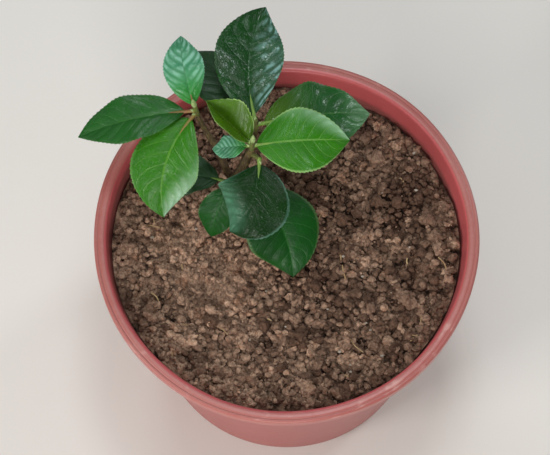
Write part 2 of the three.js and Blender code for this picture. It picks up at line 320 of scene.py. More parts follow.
def lumps(points, size, seed):
    """Smooth random values from -1 to 1, in lumps of about this size."""
    cell = np.asarray(points, float) / size + 17.31 * seed
    low = np.floor(cell).astype(np.int64)
    part = ease(cell - low, 0, 1)
    total = np.zeros(cell.shape[:-1])
    for corner in np.ndindex(2, 2, 2):
        key = ((low + corner) * CELL_FACTORS).sum(axis=-1) + seed
        share = np.where(corner, part, 1 - part).prod(axis=-1)
        total += share * (scrambled(key, SALTS[0]) / (SCRAMBLE_MOST / 2) - 1)
    return total


def cells(x, y, size, seed):
    """The level plane in uneven cells of about this size: how far each place is from the
    middle of its cell, as a share of the size, and that cell's own number from 0 to 1."""
    place = np.stack([x, y], axis=-1) / size
    low = np.floor(place).astype(np.int64)
    nearest, own = np.full(len(place), 9.0), np.zeros(len(place))
    for step in np.ndindex(3, 3):
        cell = low + step - 1
        key = (cell * CELL_FACTORS[:2]).sum(axis=1) + seed
        marks = [scrambled(key, salt) / SCRAMBLE_MOST for salt in SALTS]
        away = np.hypot(cell[:, 0] + marks[0] - place[:, 0], cell[:, 1] + marks[1] - place[:, 1])
        closer = away < nearest
        nearest[closer], own[closer] = away[closer], marks[2][closer]
    return nearest, own


def direction(heading, pitch):
    """A direction from a compass heading (0 is +X, 90 is +Y) and a pitch above the level."""
    heading, pitch = math.radians(heading), math.radians(pitch)
    level = math.cos(pitch)
    return np.array([level * math.cos(heading), level * math.sin(heading), math.sin(pitch)])


def wall_radius(z):
    """The pot wall's outer radius at a height."""
    top = RIM_RADIUS - LIP_WIDTH + WALL
    return BASE_RADIUS + (top - BASE_RADIUS) * z / POT_HEIGHT


def smooth_path(points, steps):
    """A smooth curve through points, as the solids have it, in even steps, and its length."""
    points = np.asarray(points, float)
    ends = np.vstack([2 * points[0] - points[1], points, 2 * points[-1] - points[-2]])
    t = np.linspace(0, 1, 40, endpoint=False)[:, None]
    spans = []
    for before, start, end, after in zip(ends, ends[1:], ends[2:], ends[3:]):
        gap_in = np.linalg.norm(start - before) ** 0.5
        gap = np.linalg.norm(end - start) ** 0.5
        gap_out = np.linalg.norm(after - end) ** 0.5
        leave = (start - before) / gap_in - (end - before) / (gap_in + gap) + (end - start) / gap
        arrive = (end - start) / gap - (after - start) / (gap + gap_out) + (after - end) / gap_out
        leave, arrive = leave * gap, arrive * gap
        bend = 3 * (end - start) - 2 * leave - arrive
        rest = 2 * (start - end) + leave + arrive
        spans.append(start + leave * t + bend * t**2 + rest * t**3)
    path = np.vstack([*spans, points[-1:]])
    run = np.concatenate([[0], np.cumsum(np.linalg.norm(np.diff(path, axis=0), axis=1))])
    places = np.linspace(0, run[-1], steps + 1)
    return np.stack([np.interp(places, run, path[:, k]) for k in range(3)], axis=1), run[-1]


# Meshes: each part is its vertices, its faces, a material number for each face and a map

def grid_faces(rows, columns, closed=False):
    """Quads of a grid of rows by columns of points; closed joins the last column to the first."""
    last = columns if closed else columns - 1
    row, column = np.meshgrid(np.arange(rows - 1), np.arange(last), indexing="ij")
    after = (column + 1) % columns
    corners = [row * columns + column, (row + 1) * columns + column,
               (row + 1) * columns + after, row * columns + after]
    return np.stack(corners, axis=-1).reshape(-1, 4)


def skin(rings, first, last, inside_out=False):
    """The vertices and faces of a skin over rings of points, drawn to a point at each end."""
    count, sides = rings.shape[:2]
    near, far = np.full(sides, count * sides), np.full(sides, count * sides + 1)
    side = np.arange(sides)
    after = (side + 1) % sides
    end = (count - 1) * sides
    first_fan = np.stack([near, after, side], axis=-1)
    last_fan = np.stack([far, end + side, end + after], axis=-1)
    order = -1 if inside_out else 1
    faces = []
    for kind in (grid_faces(count, sides, closed=True)[:, ::-1], first_fan, last_fan):
        faces += kind[:, ::order].tolist()
    return np.vstack([rings.reshape(-1, 3), [first], [last]]), faces


def part_of(vertices, faces, material=0, places=None):
    """A part all of one material."""
    return vertices, faces, [material] * len(faces), places


def tube(path, radii, material=0):
    """A round limb along a path, closed at its ends. radii: a row a point, a column a side."""
    ahead = unit(np.gradient(path, axis=0))
    side = np.cross(ahead[0], (0.3, 0.9, 0.1))
    carried = []
    for way in ahead:
        side = unit(side - way * (side @ way))
        carried.append(side)
    across = np.array(carried)[:, None]
    up = np.cross(ahead, across[:, 0])[:, None]
    turn = turns(radii.shape[1])[None, :, None]
    rings = path[:, None] + radii[..., None] * (np.cos(turn) * across + np.sin(turn) * up)
    return part_of(*skin(rings, path[0], path[-1]), material)


def join(parts):
    """Several parts as one."""
    vertices, faces, numbers, maps = [], [], [], []
    start = 0
    for points, corners, material, places in parts:
        vertices.append(points)
        faces += [[corner + start for corner in face] for face in corners]
        numbers += material
        maps.append(np.zeros((len(points), 2)) if places is None else places)
        start += len(points)
    return np.vstack(vertices), faces, numbers, np.vstack(maps)


def add_object(name, data):
    """A new object in the scene."""
    made = bpy.data.objects.new(name, data)
    bpy.context.scene.collection.objects.link(made)
    return made


def make_mesh(name, vertices, faces):
    """A mesh from places in millimetres."""
    mesh = bpy.data.meshes.new(name)
    mesh.from_pydata((np.asarray(vertices) * MM).tolist(), [], faces)
    return mesh


def make_piece(name, part, materials, slot, replaced=(), sharp=50):
    """A piece of the object from a part in millimetres, riding with the pot."""
    vertices, faces, numbers, places = part
    mesh = make_mesh(name, vertices, faces)
    for material in materials:
        mesh.materials.append(material)
    mesh.polygons.foreach_set("material_index", numbers)
    mesh.polygons.foreach_set("use_smooth", [True] * len(faces))
    if places is not None:
        layer = mesh.uv_layers.new(name="place")
        corner = np.empty(len(mesh.loops), np.int32)
        mesh.loops.foreach_get("vertex_index", corner)
        layer.uv.foreach_set("vector", np.asarray(places)[corner].ravel())
    mesh.update()
    mesh.set_sharp_from_angle(angle=math.radians(sharp))
    piece = add_object(name, mesh)
    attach(piece, "root")
    if replaced:
        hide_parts(*replaced)
    return piece


# Shader nodes

class Shade:
    """What a shader node puts out. Sums written with it become nodes."""

    def __init__(self, socket):
        self.socket, self.tree = socket, socket.id_data

    def __add__(self, other):
        return maths("ADD", self, other)

    def __sub__(self, other):
        return maths("SUBTRACT", self, other)

    def __rsub__(self, other):
        return maths("SUBTRACT", other, self)

    def __mul__(self, other):
        return maths("MULTIPLY", self, other)

    def __truediv__(self, other):
        return maths("DIVIDE", self, other)


def rgb(red, green, blue):
    """A screen colour, 0 to 255, as the shader's own numbers."""
    shares = [value / 255 for value in (red, green, blue)]
    return (*[s / 12.92 if s <= 0.04045 else ((s + 0.055) / 1.055) ** 2.4 for s in shares], 1)


def fill(node, inputs):
    """Gives a node its inputs, each a plain value or a Shade."""
    for key, value in inputs.items():
        if isinstance(value, Shade):
            value.tree.links.new(value.socket, node.inputs[key])
        else:
            node.inputs[key].default_value = value


def put(tree, kind, inputs, **settings):
    """What a new node puts out, with these inputs and settings."""
    node = tree.nodes.new(kind)
    for key, value in settings.items():
        setattr(node, key, value)
    fill(node, inputs)
    return [Shade(socket) for socket in node.outputs]


def maths(operation, first, second=0.5, clamp=False):
    """One sum of two numbers, at least one of them a Shade."""
    tree = (first if isinstance(first, Shade) else second).tree
    inputs = {0: first, 1: second}
    return put(tree, "ShaderNodeMath", inputs, operation=operation, use_clamp=clamp)[0]


def mix(share, first, second):
    """One colour laid over another."""
    inputs = {0: share, 6: first, 7: second}
    return put(share.tree, "ShaderNodeMix", inputs, data_type="RGBA")[2]


def band(value, low, high, start=0.0, end=1.0):
    """A value between low and high, spread smoothly from start to end."""
    inputs = {0: value, 1: low, 2: high, 3: start, 4: end}
    return put(value.tree, "ShaderNodeMapRange", inputs, interpolation_type="SMOOTHSTEP")[0]


def band_mm(value, low, high, start=0.0, end=1.0):
    """band, with low and high in millimetres."""
    return band(value, low * MM, high * MM, start, end)


def noise(place, fineness, detail=3.0, roughness=0.55):
    """Cloudy values from 0 to 1, with this many features to the metre."""
    inputs = {"Vector": place, "Scale": fineness, "Detail": detail, "Roughness": roughness}
    return put(place.tree, "ShaderNodeTexNoise", inputs)[0]


def granules(place, fineness, feature="F1"):
    """How far each place is from the middle of its granule, or from that granule's edge."""
    inputs = {"Vector": place, "Scale": fineness}
    return put(place.tree, "ShaderNodeTexVoronoi", inputs, feature=feature)[0]


def stretched(place, by):
    """A place with each of its directions scaled."""
    return put(place.tree, "ShaderNodeMapping", {"Vector": place, "Scale": by})[0]


def split(place):
    """A place's three numbers."""
    return put(place.tree, "ShaderNodeSeparateXYZ", {0: place})


# What the sockets of the shared groups hold; the others are plain numbers
SOCKET_KINDS = {"Place": "Vector", "Colour": "Color", "Second": "Color", "Pale": "Color"}


def shared(rule):
    """Builds a rule's nodes once, as a group with the rule's own inputs and outputs. A call of
    the rule then places the group with its own values, and gives what it puts out by name."""
    tree = bpy.data.node_groups.new(rule.__name__, "ShaderNodeTree")
    given = [name.capitalize() for name in inspect.signature(rule).parameters]

    def add_socket(label, way):
        kind = "NodeSocket" + SOCKET_KINDS.get(label, "Float")
        tree.interface.new_socket(label, in_out=way, socket_type=kind)

    for label in given:
        add_socket(label, "INPUT")
    inside = tree.nodes.new("NodeGroupInput").outputs
    made = rule(*[Shade(inside[label]) for label in given])
    for label in made:
        add_socket(label, "OUTPUT")
    fill(tree.nodes.new("NodeGroupOutput"), made)

    def place_group(*values):
        near = next(value.tree for value in values if isinstance(value, Shade))
        outputs = put(near, "ShaderNodeGroup", dict(zip(given, values)), node_tree=tree)
        return {output.socket.name: output for output in outputs}

    return place_group


@shared
def mottle(place, colour, second, fineness, amount):
    """Soft patches of a second colour, with finer flecks in them."""
    mask = band(noise(place, fineness, 4.0, 0.6), 0.35, 0.65)
    return {"Colour": mix(mask * amount, colour, second), "Mask": mask}


@shared
def dust(place, colour, pale, amount):
    """Pale dust that settles on what faces up, in patches."""
    geometry = place.tree.nodes.new("ShaderNodeNewGeometry")
    settled = band(split(Shade(geometry.outputs["Normal"]))[2], -0.3, 1.0, 0.35, 1.0)
    patches = band(noise(place, 1 / 0.03, 4.0, 0.6), 0.2, 0.8, 0.25, 1.0)
    flecks = band(noise(place, 1 / 0.0012, 2.0), 0.45, 0.75, 0.6, 1.0)
    share = settled * patches * flecks * amount
    return {"Colour": mix(share, colour, pale), "Mask": share}


@shared
def scuffs(place, fineness, rarity):
    """Thin scratches that mostly run level, as pots get when they are stacked."""
    lines = noise(stretched(place, (0.12, 0.12, 1.0)), fineness, 2.0, 0.5)
    sharp = maths("MULTIPLY", lines - rarity, 14.0, clamp=True)
    return {"Mask": sharp * band(noise(place, 1 / 0.012, 3.0), 0.42, 0.62)}


@shared
def grain(place, fineness, tooth):
    """The height of a fine uneven surface: small lumps with a finer tooth on them."""
    coarse = noise(place, fineness, 2.0, 0.5)
    return {"Height": coarse + noise(place, fineness * 4.2, 1.0, 0.5) * tooth}


@shared
def leaf_veins(place):
    """A leaf's veins from its map: along the blade, and across it from edge to edge."""
    along, share, _ = split(place)
    across = (share - 0.5) * 2.0
    off = maths("ABSOLUTE", across)
    swept = along - off * VEIN_SWEEP - maths("POWER", off, 4.0) * VEIN_HOOK
    count = swept * VEIN_PAIRS + maths("SIGN", across) * 0.25
    away = maths("ABSOLUTE", maths("FRACT", count) - 0.5)
    width = band(along, 0.0, 1.0, 0.06, 0.03)
    net = granules(stretched(place, (46.0, 26.0, 1.0)), 1.0, "DISTANCE_TO_EDGE")
    return {
        "Midrib": band(off / width, 0.35, 1.0, 1.0, 0.0),
        "Veins": band(away, 0.0, 0.07, 1.0, 0.0) * band(off, 0.82, 0.97, 1.0, 0.0),
        "Margin": band(off, 0.9, 0.985),
        "Along": along,
        "Across": across,
        "Net": band(net, 0.0, 0.12),
        "Bulge": band(away, 0.1, 0.4),
    }


# Materials

ROSE = rgb(168, 76, 74)
ROSE_DEEP = rgb(156, 66, 66)
ROSE_LIP = rgb(186, 104, 98)
ROSE_INSIDE = rgb(206, 94, 97)
ROSE_SCUFF = rgb(214, 160, 150)
POT_DUST = rgb(188, 142, 128)
POT_EARTH = rgb(92, 58, 46)
LOAM_DRY = rgb(236, 194, 164)
LOAM_DAMP = rgb(80, 52, 39)
LOAM_RUST = rgb(176, 118, 84)
LOAM_GAP = rgb(34, 20, 14)
BARK_SPOT = rgb(172, 150, 116)
UNDERSIDE = rgb(104, 146, 84)
UNDERSIDE_DEEP = rgb(88, 130, 72)
UNDERSIDE_VEIN = rgb(160, 188, 122)


def new_material(name):
    """An empty material, and its places on the object."""
    material = bpy.data.materials.new(name)
    material.use_nodes = True
    return material, Shade(material.node_tree.nodes.new("ShaderNodeTexCoord").outputs["Object"])


def piece_map(place):
    """The map that make_piece gives a mesh."""
    return put(place.tree, "ShaderNodeUVMap", {}, uv_map="place")[0]


def finish(material, colour, roughness, others=None):
    """Gives a material's shader its colour, its roughness and its other values."""
    shader = material.node_tree.nodes["Principled BSDF"]
    fill(shader, {"Base Color": colour, "Roughness": roughness, **(others or {})})
    return material


def bump(height, depth):
    """Small relief of a depth in metres, as a shader's value."""
    inputs = {"Height": height, "Distance": depth, "Strength": 1.0}
    return {"Normal": put(height.tree, "ShaderNodeBump", inputs)[0]}


def make_pot_material():
    """Dull rose-red moulded plastic, dusty outside and scuffed at the lip. Inside, the wall has
    painted light, and earth stains with painted shade just above the soil.
    """
    material, place = new_material("pot_plastic")
    x, y, height = split(place)
    level_place = stretched(place, (1, 1, 0))
    radius = put(place.tree, "ShaderNodeVectorMath", {0: level_place}, operation="LENGTH")[1]
    lip_foot = POT_HEIGHT - LIP_DEPTH
    rim = (band_mm(height, lip_foot, lip_foot + 1)
           * band_mm(radius, RIM_RADIUS - LIP_WIDTH, RIM_RADIUS - 3))
    colour = mottle(place, ROSE, ROSE_DEEP, 22.0, 0.5)["Colour"]
    colour = mix(rim * 0.6, colour, ROSE_LIP)
    spread = (wall_radius(POT_HEIGHT) - BASE_RADIUS) / POT_HEIGHT
    within = maths("LESS_THAN", radius, height * spread + (BASE_RADIUS - 0.5 * WALL) * MM)
    # Painted light: the inner wall gets a brighter, redder rose than the same plastic outside
    colour = mix(within * 0.85, colour, ROSE_INSIDE)
    dusty = dust(place, colour, POT_DUST, 0.5 - within * 0.4)

    # Earth stains the inner wall a little above the soil, with painted shade there too; both
    # reach higher where the soil is heaped up to the left and the front
    rises = [band_mm(way, start, end, rise * MM, 0.0)
             for way, (start, end, rise) in zip((x, y), CLINGING)]
    level = height - maths("MAXIMUM", *rises)
    streaks = band(noise(stretched(place, (1, 1, 0.35)), 1 / 0.004, 4.0), 0.4, 0.62)
    soiled = band_mm(level, SOIL_TOP - 1, SOIL_TOP + 5.5, 1.0, 0.0) * streaks
    under = band_mm(height, 0.5, 1.5, 1.0, 0.0)
    above = 1.0 - under
    # Painted shade: the inner wall darkened just above the soil, where it lies in shade
    damp = band_mm(level, SOIL_TOP + 0.5, SOIL_TOP + 4, 0.9, 0.0) * above
    kept = above + under * band(noise(place, 1 / 0.026, 4.0), 0.5, 0.78)
    earthy = maths("MAXIMUM", soiled, damp) * within * kept
    colour = mix(earthy * 0.75, dusty["Colour"], POT_EARTH)

    edge = scuffs(place, 900.0, 0.6)["Mask"] * (rim * 0.55 + 0.16)
    rough = 0.36 - rim * 0.1 + dusty["Mask"] * 0.5 + earthy * 0.3
    surface = grain(place, 260.0, 0.25)["Height"]
    return finish(material, mix(edge, colour, ROSE_SCUFF), rough,
                  bump(surface + edge * 0.6, 0.00012))


def make_soil_material():
    """Crumbly loam. Its map says how pale each crumb is, and how far out of the gaps it lies; the
    gaps and the crevices between granules get painted shade.
    """
    material, place = new_material("loam")
    dry, out, _ = split(piece_map(place))
    rusty = band(noise(place, 1 / 0.004, 2.0), 0.52, 0.7, 0.0, 0.6) * dry
    crumb = mix(rusty, mix(dry, LOAM_DAMP, LOAM_DRY), LOAM_RUST)
    colour = mottle(place, crumb, LOAM_DAMP, 700.0, 0.45)["Colour"]
    granule = granules(place, 850.0)
    # Painted shade in the crevices between the granules
    colour = mix(band(granule, 0.5, 0.95, 0.0, 0.5), colour, LOAM_GAP)
    # Painted shade: low places in the gaps, and wetter ones, take the dark gap colour
    raised = band(out - (1.0 - dry) * 0.14, 0.1, 0.68)
    surface = grain(place, 1500.0, 0.6)["Height"]
    return finish(material, mix(raised, LOAM_GAP, colour), 0.95,
                  {"Specular IOR Level": 0.2, **bump(surface - granule, 0.0006)})


def make_bark_material(name, low, high, crack, from_height, to_height):
    """Thin bark with lengthwise cracks, browner below and greener above."""
    material, place = new_material(name)
    rise = band_mm(split(place)[2], from_height, to_height)
    colour = mottle(place, mix(rise, low, high), mix(rise, high, low), 420.0, 0.45)["Colour"]
    lengthwise = stretched(place, (1, 1, 0.16))
    cracks = band(noise(lengthwise, 1 / 0.0007, 3.0, 0.6), 0.42, 0.56, 1.0, 0.0)
    spots = band(noise(place, 1 / 0.0011, 1.0), 0.68, 0.74)
    colour = mix(spots * 0.6, mix(cracks * 0.65, colour, crack), BARK_SPOT)
    surface = grain(lengthwise, 1400.0, 0.5)["Height"]
    return finish(material, colour, 0.72, bump(surface - cracks * 0.8, 0.0003))


def make_leaf_material(name, face, second, vein, margin, edge=0.3, base=None, gloss=0.22,
                       lines=0.25, shine=0.5, bloom=None, patchy=0.5):
    """The upper side of a leaf: glossy, with paler veins and edge and a mottled face. base
    tints it near its stalk. bloom is a painted highlight: its colour, how far it lies to
    one side and along the blade, where it starts and how strong it is. patchy is how broken it
    is."""
    material, place = new_material(name)
    veins = leaf_veins(piece_map(place))
    mottled = mottle(place, face, second, 210.0, 0.6)
    colour = mottled["Colour"]
    # Painted highlight: a pale sheen painted where the blade catches the light, broken up over
    # the bulges between the veins
    if bloom:
        pale, side, along, low, amount = bloom
        toward = veins["Across"] * (0.5 * side) + veins["Along"] * along
        bulging = veins["Bulge"] * band(noise(place, 1 / 0.0036, 2.0), 0.36, 0.6)
        uneven = bulging * (amount * patchy) + amount * (1 - patchy)
        colour = mix(band(toward, low, low + 0.5) * uneven, colour, pale)
    if base:
        colour = mix(band(veins["Along"], 0.05, 0.55, 1.0, 0.0) * 0.8, colour, base)
    colour = mix((1.0 - veins["Net"]) * (0.22 * lines), colour, vein)
    colour = mix(veins["Veins"] * lines, colour, vein)
    colour = mix(veins["Midrib"] * min(1, 1.6 * lines), colour, vein)
    colour = mix(veins["Margin"] * edge, colour, margin)
    surface = grain(place, 900.0, 0.3)["Height"]
    relief = surface + veins["Net"] * 0.5 - veins["Veins"] * 0.8
    return finish(material, colour, mottled["Mask"] * 0.1 + gloss,
                  {"IOR": 1.45, "Specular IOR Level": shine, **bump(relief, 0.00007)})


def make_under_material():
    """The underside of a leaf: paler, dull, with veins that stand out."""
    material, place = new_material("leaf_underside")
    veins = leaf_veins(piece_map(place))
    colour = mottle(place, UNDERSIDE, UNDERSIDE_DEEP, 230.0, 0.7)["Colour"]
    lines = maths("MAXIMUM", veins["Veins"], veins["Midrib"])
    return finish(material, mix(lines * 0.6, colour, UNDERSIDE_VEIN), 0.6,
                  bump(veins["Net"] * -0.4 + veins["Veins"], 0.0002))


def make_smooth_material(name, colour, second, roughness, fineness=1 / 0.003, tooth=0.3):
    """A plain living or dry surface with two close colours and a fine skin."""
    material, place = new_material(name)
    tint = mottle(place, colour, second, fineness, 0.8)["Colour"]
    surface = grain(stretched(place, (1, 1, 0.3)), 1600.0, tooth)["Height"]
    return finish(material, tint, roughness, bump(surface, 0.00012))


POT_PLASTIC = make_pot_material()
LOAM = make_soil_material()
STRAW = make_smooth_material("straw", rgb(190, 160, 116), rgb(150, 118, 82), 0.8)
GRIT = make_smooth_material("grit", rgb(196, 184, 168), rgb(160, 146, 130), 0.7, 1 / 0.001)
STEM_BARK = make_bark_material(
    "stem_bark", rgb(112, 86, 62), rgb(116, 104, 58), rgb(72, 54, 40), 104, 150)
TWIG_SKIN = make_bark_material(
    "twig_skin", rgb(118, 112, 56), rgb(104, 130, 52), rgb(96, 82, 46), 140, 158)
STALK_GREEN = make_smooth_material("stalk_green", rgb(122, 158, 62), rgb(96, 130, 48), 0.45)
STALK_FLUSHED = make_smooth_material("stalk_flushed", rgb(150, 100, 62), rgb(122, 128, 56), 0.45)
BUD_DOWN = make_smooth_material(
    "bud_down", rgb(176, 194, 132), rgb(128, 160, 86), 0.7, 1 / 0.0012, 0.8)
LEAF_UNDER = make_under_material()
LEAF_LOOKS = {material.name: material for material in (
    make_leaf_material(
        "leaf_mid", rgb(32, 98, 28), rgb(24, 82, 26), rgb(70, 130, 52), rgb(76, 126, 58)),
    make_leaf_material(
        "leaf_fresh", rgb(50, 122, 10), rgb(36, 104, 8), rgb(118, 170, 60), rgb(140, 180, 104),
        lines=0.22, shine=0.42, bloom=(rgb(178, 216, 184), 1, 0.8, 0.6, 0.8), patchy=0.3),
    # Painted reflection: the pale teal face and sheen stand in for the sky mirrored in a glossy
    # leaf
    make_leaf_material(
        "leaf_waxy", rgb(40, 130, 80), rgb(84, 158, 112), rgb(40, 112, 56), rgb(140, 190, 160),
        base=rgb(44, 140, 18), gloss=0.16, bloom=(rgb(166, 222, 198), 0, 1.0, -0.1, 0.62),
        patchy=0.85),
    make_leaf_material(
        "leaf_dark", rgb(18, 72, 18), rgb(10, 52, 14), rgb(36, 88, 34), rgb(60, 106, 54),
        gloss=0.16, lines=0.14, shine=0.42, bloom=(rgb(140, 184, 176), -1, 0.0, -0.05, 0.95),
        patchy=0.9),
    make_leaf_material(
        "leaf_old", rgb(16, 54, 18), rgb(26, 66, 28), rgb(42, 84, 42), rgb(56, 90, 50),
        gloss=0.3),
    make_leaf_material(
        "leaf_olive", rgb(30, 92, 34), rgb(22, 76, 24), rgb(86, 130, 66), rgb(100, 142, 86),
        base=rgb(78, 112, 4), gloss=0.16, shine=0.36,
        bloom=(rgb(150, 196, 150), 0, 1.0, 0.66, 1.0)),
    make_leaf_material(
        "leaf_young", rgb(78, 122, 8), rgb(60, 100, 6), rgb(128, 160, 60), rgb(160, 196, 110),
        edge=0.85),
    make_leaf_material(
        "leaf_lime", rgb(50, 124, 8), rgb(38, 108, 6), rgb(136, 184, 84), rgb(150, 190, 112),
        edge=0.8, lines=0.26, shine=0.28, bloom=(rgb(168, 210, 168), 1, 0.6, 0.5, 0.95),
        patchy=0.3),
    make_leaf_material(
        "leaf_blue", rgb(12, 52, 10), rgb(10, 42, 8), rgb(30, 70, 32), rgb(96, 140, 118),
        edge=0.5, gloss=0.18, lines=0.14, shine=0.24,
        bloom=(rgb(80, 132, 102), -1, 1.0, 0.5, 1.0), patchy=0.35),
    make_leaf_material(
        "leaf_deep", rgb(14, 82, 18), rgb(10, 66, 16), rgb(48, 112, 42), rgb(112, 144, 90),
        edge=0.55, gloss=0.3, shine=0.4),
)}


# Pot

def rounded(corners, steps=5):
    """A profile with each (radius, z, rounding) corner rounded off."""
    profile = []
    for i, (radius, z, size) in enumerate(corners):
        here = np.array([radius, z], float)
        if size == 0:
            profile.append(here)
            continue
        before = np.array(corners[i - 1][:2], float)
        after = np.array(corners[i + 1][:2], float)
        start = here + unit(before - here) * size
        end = here + unit(after - here) * size
        for t in np.linspace(0, 1, steps):
            profile.append((1 - t) ** 2 * start + 2 * t * (1 - t) * here + t * t * end)
    return np.array(profile)


def drill(pot):
    """Cuts the drain holes through the floor."""
    cutters = []
    for turn in turns(DRAIN_HOLES):
        path = around(DRAIN_RING, turn, np.arange(-3.0, 6.0, 2.0))
        cutters.append(tube(path, np.full((len(path), 32), DRAIN_RADIUS)))
    vertices, faces, _, _ = join(cutters)
    cutter = add_object("drill", make_mesh("drill", vertices, faces))
    cut = pot.modifiers.new("drain_holes", "BOOLEAN")
    cut.operation, cut.object, cut.solver = "DIFFERENCE", cutter, "EXACT"
    bpy.context.view_layer.objects.active = pot
    bpy.ops.object.modifier_apply(modifier=cut.name)
    bpy.data.objects.remove(cutter)


def build_pot():
    """A turned thin-walled pot with a rolled lip that isn't quite true."""
    foot = POT_HEIGHT - LIP_DEPTH
    profile = rounded([
        # Underside and stand ring
        (0, BASE_RECESS, 0), (BASE_RADIUS - 9, BASE_RECESS, 0.5), (BASE_RADIUS - 8.2, 0, 0.5),
        (BASE_RADIUS, 0, 1.2),
        # Wall
        *[(wall_radius(z), z, 0) for z in range(6, 106, WALL_STEP)],
        (wall_radius(foot - 0.4), foot - 0.4, 0.25),
        # Lip, with a shallow groove round its top
        *[(RIM_RADIUS + out, POT_HEIGHT + up, size) for out, up, size in LIP_CORNERS],
        # Inside
        *[(wall_radius(z) - WALL, z, 0) for z in range(108, 4, -WALL_STEP)],
        (wall_radius(FLOOR) - WALL, FLOOR, 1.2), (0, FLOOR, 0),
    ])
    turn = turns(POT_SIDES)
    radius, z = profile[:, :1], profile[:, 1:]
    high = (z / POT_HEIGHT) ** 3
    sway = 0.35 * np.cos(2 * turn + 0.7) + 0.22 * np.cos(3 * turn - 1.1) + 0.1 * np.cos(7 * turn)
    lift = 0.2 * np.cos(2 * turn - 0.4) + 0.12 * np.cos(5 * turn + 1.3)
    wide = radius + sway * high * (radius > 1)
    rings = around(wide, turn, z + (lift - 0.25) * high * (radius > 1))
    part = part_of(*skin(rings[1:-1], rings[0, 0], rings[-1, 0]))
    drill(make_piece("pot_shell", part, [POT_PLASTIC], "pot", ["pot"], sharp=40))


# Soil

def layered(x, y, layers):
    """Cloudy unevenness over the soil, from its layers."""
    flat = np.stack([x, y, np.zeros_like(x)], axis=-1)
    return sum(share * lumps(flat, size, seed) for share, size, seed in layers)


def stem_distance(x, y):
    """How far a place is from the stem's foot."""
    return np.hypot(x - STEM_FOOT[0], y - STEM_FOOT[1])


def soil_height(x, y):
    """The solids' height of the soil, with its low lumps."""
    lump = (np.sin(x * 0.11 + 1.3) * np.cos(y * 0.13 - 0.4)
            + 0.6 * np.sin(x * 0.23 - y * 0.19 + 2.1) + 0.4 * np.cos(x * 0.31 + y * 0.37))
    calm = ease(stem_distance(x, y), CALM_RADIUS, 2 * CALM_RADIUS)
    return SOIL_TOP + 0.5 * SOIL_LUMP * lump * calm


def spots(x, y, places):
    """How near each place is to the nearest of some round spots: 1 in its middle, 0 outside."""
    near = [strength * bell(np.hypot(x - at_x, y - at_y), reach)
            for at_x, at_y, reach, strength in places]
    return np.max(near, axis=0)


def coarseness(x, y):
    """Where the crumbs are coarse, near 1, and where the soil is fine and trodden, near 0."""
    return np.clip(0.75 + layered(x, y, COARSE_LAYERS) - spots(x, y, FINE_SPOTS), 0.05, 1)


def bed_relief(x, y):
    """How far packed crumbs stand out of the bed, in millimetres."""
    aside, ahead = (layered(x, y, layers) for layers in WANDER_LAYERS)
    crumbs = []
    for size, wander, dome, least, more, seed in PACKED_CRUMBS:
        away, own = cells(x + wander * aside, y + wander * ahead, size, seed)
        crumbs.append((least + more * own) * np.sqrt(np.clip(1 - (away / dome) ** 2, 0, 1)))
    coarse, small, tiny = crumbs
    return coarseness(x, y) * coarse + small + tiny


def heap(x, y):
    """How far the soil is heaped up towards the pot's wall."""
    heading = np.degrees(np.arctan2(y, x))
    rise = [most * bell((heading - middle + 180) % 360 - 180, wide)
            for middle, wide, most in HEAPS]
    return np.max(rise, axis=0) * ease(np.hypot(x, y), HEAP_START, BED_RADIUS)


def bed_edge(x, y):
    """How far the bed reaches this way: as far as the sloping wall lets it."""
    out = np.maximum(np.hypot(x, y), 1e-6)
    return BED_RADIUS + WALL_SLOPE * heap(x / out * BED_RADIUS, y / out * BED_RADIUS)


def bed_height(x, y):
    """The top of the crumbly bed, lower at the pot's wall."""
    gutter = GUTTER_DEPTH * ease(np.hypot(x, y), BED_RADIUS - GUTTER_WIDTH, BED_RADIUS)
    rough = layered(x, y, ROUGH_LAYERS) + bed_relief(x, y)
    return soil_height(x, y) - BED_DEPTH + rough - gutter + heap(x, y)


def dryness(x, y):
    """How pale the soil is, near 1, where it has dried, and how dark, near 0, where it is wet.
    Some spots hold painted light and some painted shadow, and there is painted shade by the pot's
    wall.
    """
    # Painted shade: the soil darkens a little next to the pot's wall
    wall = ease(np.hypot(x, y), BED_RADIUS - 6, BED_RADIUS)
    dry = 0.58 + layered(x, y, DRY_LAYERS) + spots(x, y, PALE_SPOTS) - spots(x, y, DAMP_SPOTS)
    return np.clip(dry - 0.05 * wall, 0, 1)


def build_bed():
    """The soil's body: a plug that fills the pot, with a rough top."""
    turn = turns(BED_SIDES)
    reach = np.linspace(0, 1, BED_RINGS + 1)[1:, None] * bed_edge(np.cos(turn), np.sin(turn))
    top = around(reach, turn, 0.0)
    top[..., 2] = bed_height(top[..., 0].ravel(), top[..., 1].ravel()).reshape(reach.shape)
    low = FLOOR + CLEAR
    sides = []
    for z in (*PLUG_HEIGHTS, low + BED_BEVEL, low):
        radius = wall_radius(z) - WALL - CLEAR - (BED_BEVEL if z == low else 0)
        sides.append(around(radius, turn, z))
    middle = bed_height(np.zeros(1), np.zeros(1))[0]
    vertices, faces = skin(
        np.concatenate([top, sides]), (0, 0, middle), (0, 0, low), inside_out=True)
    x, y = vertices[:, 0], vertices[:, 1]
    # How far out of the gaps each place is: the loam gives the low places painted shade
    raised = 0.5 * bed_relief(x, y) + 0.5 * (1 - coarseness(x, y)) ** 2
    places = np.clip(np.stack([dryness(x, y), raised], axis=-1), 0, 1)
    make_piece("soil_body", part_of(vertices, faces, 0, places), [LOAM], "soil", ["soil"], 180)


def ball(divisions):
    """A ball's vertices and triangles."""
    made = bpy.data.meshes.new("ball")
    shape = bmesh.new()
    bmesh.ops.create_icosphere(shape, subdivisions=divisions, radius=1)
    shape.to_mesh(made)
    shape.free()
    vertices = np.array([v.co for v in made.vertices])
    faces = np.array([p.vertices for p in made.polygons])
    bpy.data.meshes.remove(made)
    return vertices, faces


